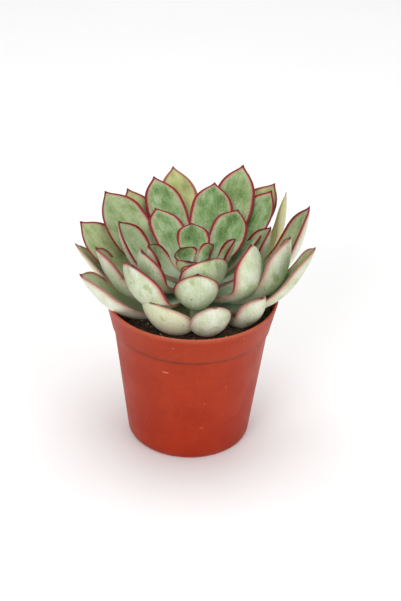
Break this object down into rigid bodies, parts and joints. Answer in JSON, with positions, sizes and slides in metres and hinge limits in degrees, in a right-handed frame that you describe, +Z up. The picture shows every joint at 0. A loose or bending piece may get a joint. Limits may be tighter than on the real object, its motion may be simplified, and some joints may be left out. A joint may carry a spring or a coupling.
{
  "type": "potted succulent",
  "caption": "Rosette succulent with thick, pointed, red-edged leaves, growing in a round tapered nursery pot with a rim band.",
  "frame": {"origin": "centre of the pot's base, on the surface that the pot stands on", "axes": "+Z up along the pot's axis; -Y towards the side of the plant that faces the viewer; +X to that viewer's right"},
  "size_m": [0.1413, 0.1271, 0.153],
  "materials": {
    "pot_plastic": "thin moulded terracotta-coloured plastic, satin, lightly scuffed",
    "potting_soil": "dark damp peat mix with pale grit and bark crumbs",
    "stem": "short fleshy green-brown stem",
    "young_leaf": "fleshy bright green leaf with a thin dark red margin and point",
    "leaf": "fleshy waxy leaf, mid green above and pale bloom-covered green below, with a dark red margin and point",
    "old_leaf": "fleshy yellow-green older leaf with a brown-red margin"
  },
  "bodies": {
    "root": {"pot": "pot_plastic", "soil": "potting_soil", "stem": "stem", "heart_leaf_1": "young_leaf", "heart_leaf_2": "young_leaf", "heart_leaf_3": "young_leaf", "heart_leaf_4": "young_leaf", "heart_leaf_5": "young_leaf", "inner_leaf_1": "leaf", "inner_leaf_2": "leaf", "inner_leaf_3": "leaf", "inner_leaf_4": "leaf", "inner_leaf_5": "leaf", "inner_leaf_6": "leaf", "inner_leaf_7": "leaf", "inner_leaf_8": "leaf", "middle_leaf_1": "leaf", "middle_leaf_2": "leaf", "middle_leaf_3": "leaf", "middle_leaf_4": "leaf", "middle_leaf_5": "leaf", "middle_leaf_6": "leaf", "middle_leaf_7": "leaf", "middle_leaf_8": "leaf", "middle_leaf_9": "leaf", "middle_leaf_10": "leaf", "outer_leaf_1": "leaf", "outer_leaf_2": "leaf", "outer_leaf_3": "leaf", "outer_leaf_4": "leaf", "outer_leaf_5": "leaf", "outer_leaf_6": "leaf", "outer_leaf_7": "leaf", "outer_leaf_8": "leaf", "old_leaf_1": "old_leaf", "old_leaf_2": "old_leaf", "old_leaf_3": "old_leaf", "old_leaf_4": "old_leaf", "old_leaf_5": "old_leaf", "old_leaf_6": "old_leaf"}
  },
  "joints": []
}
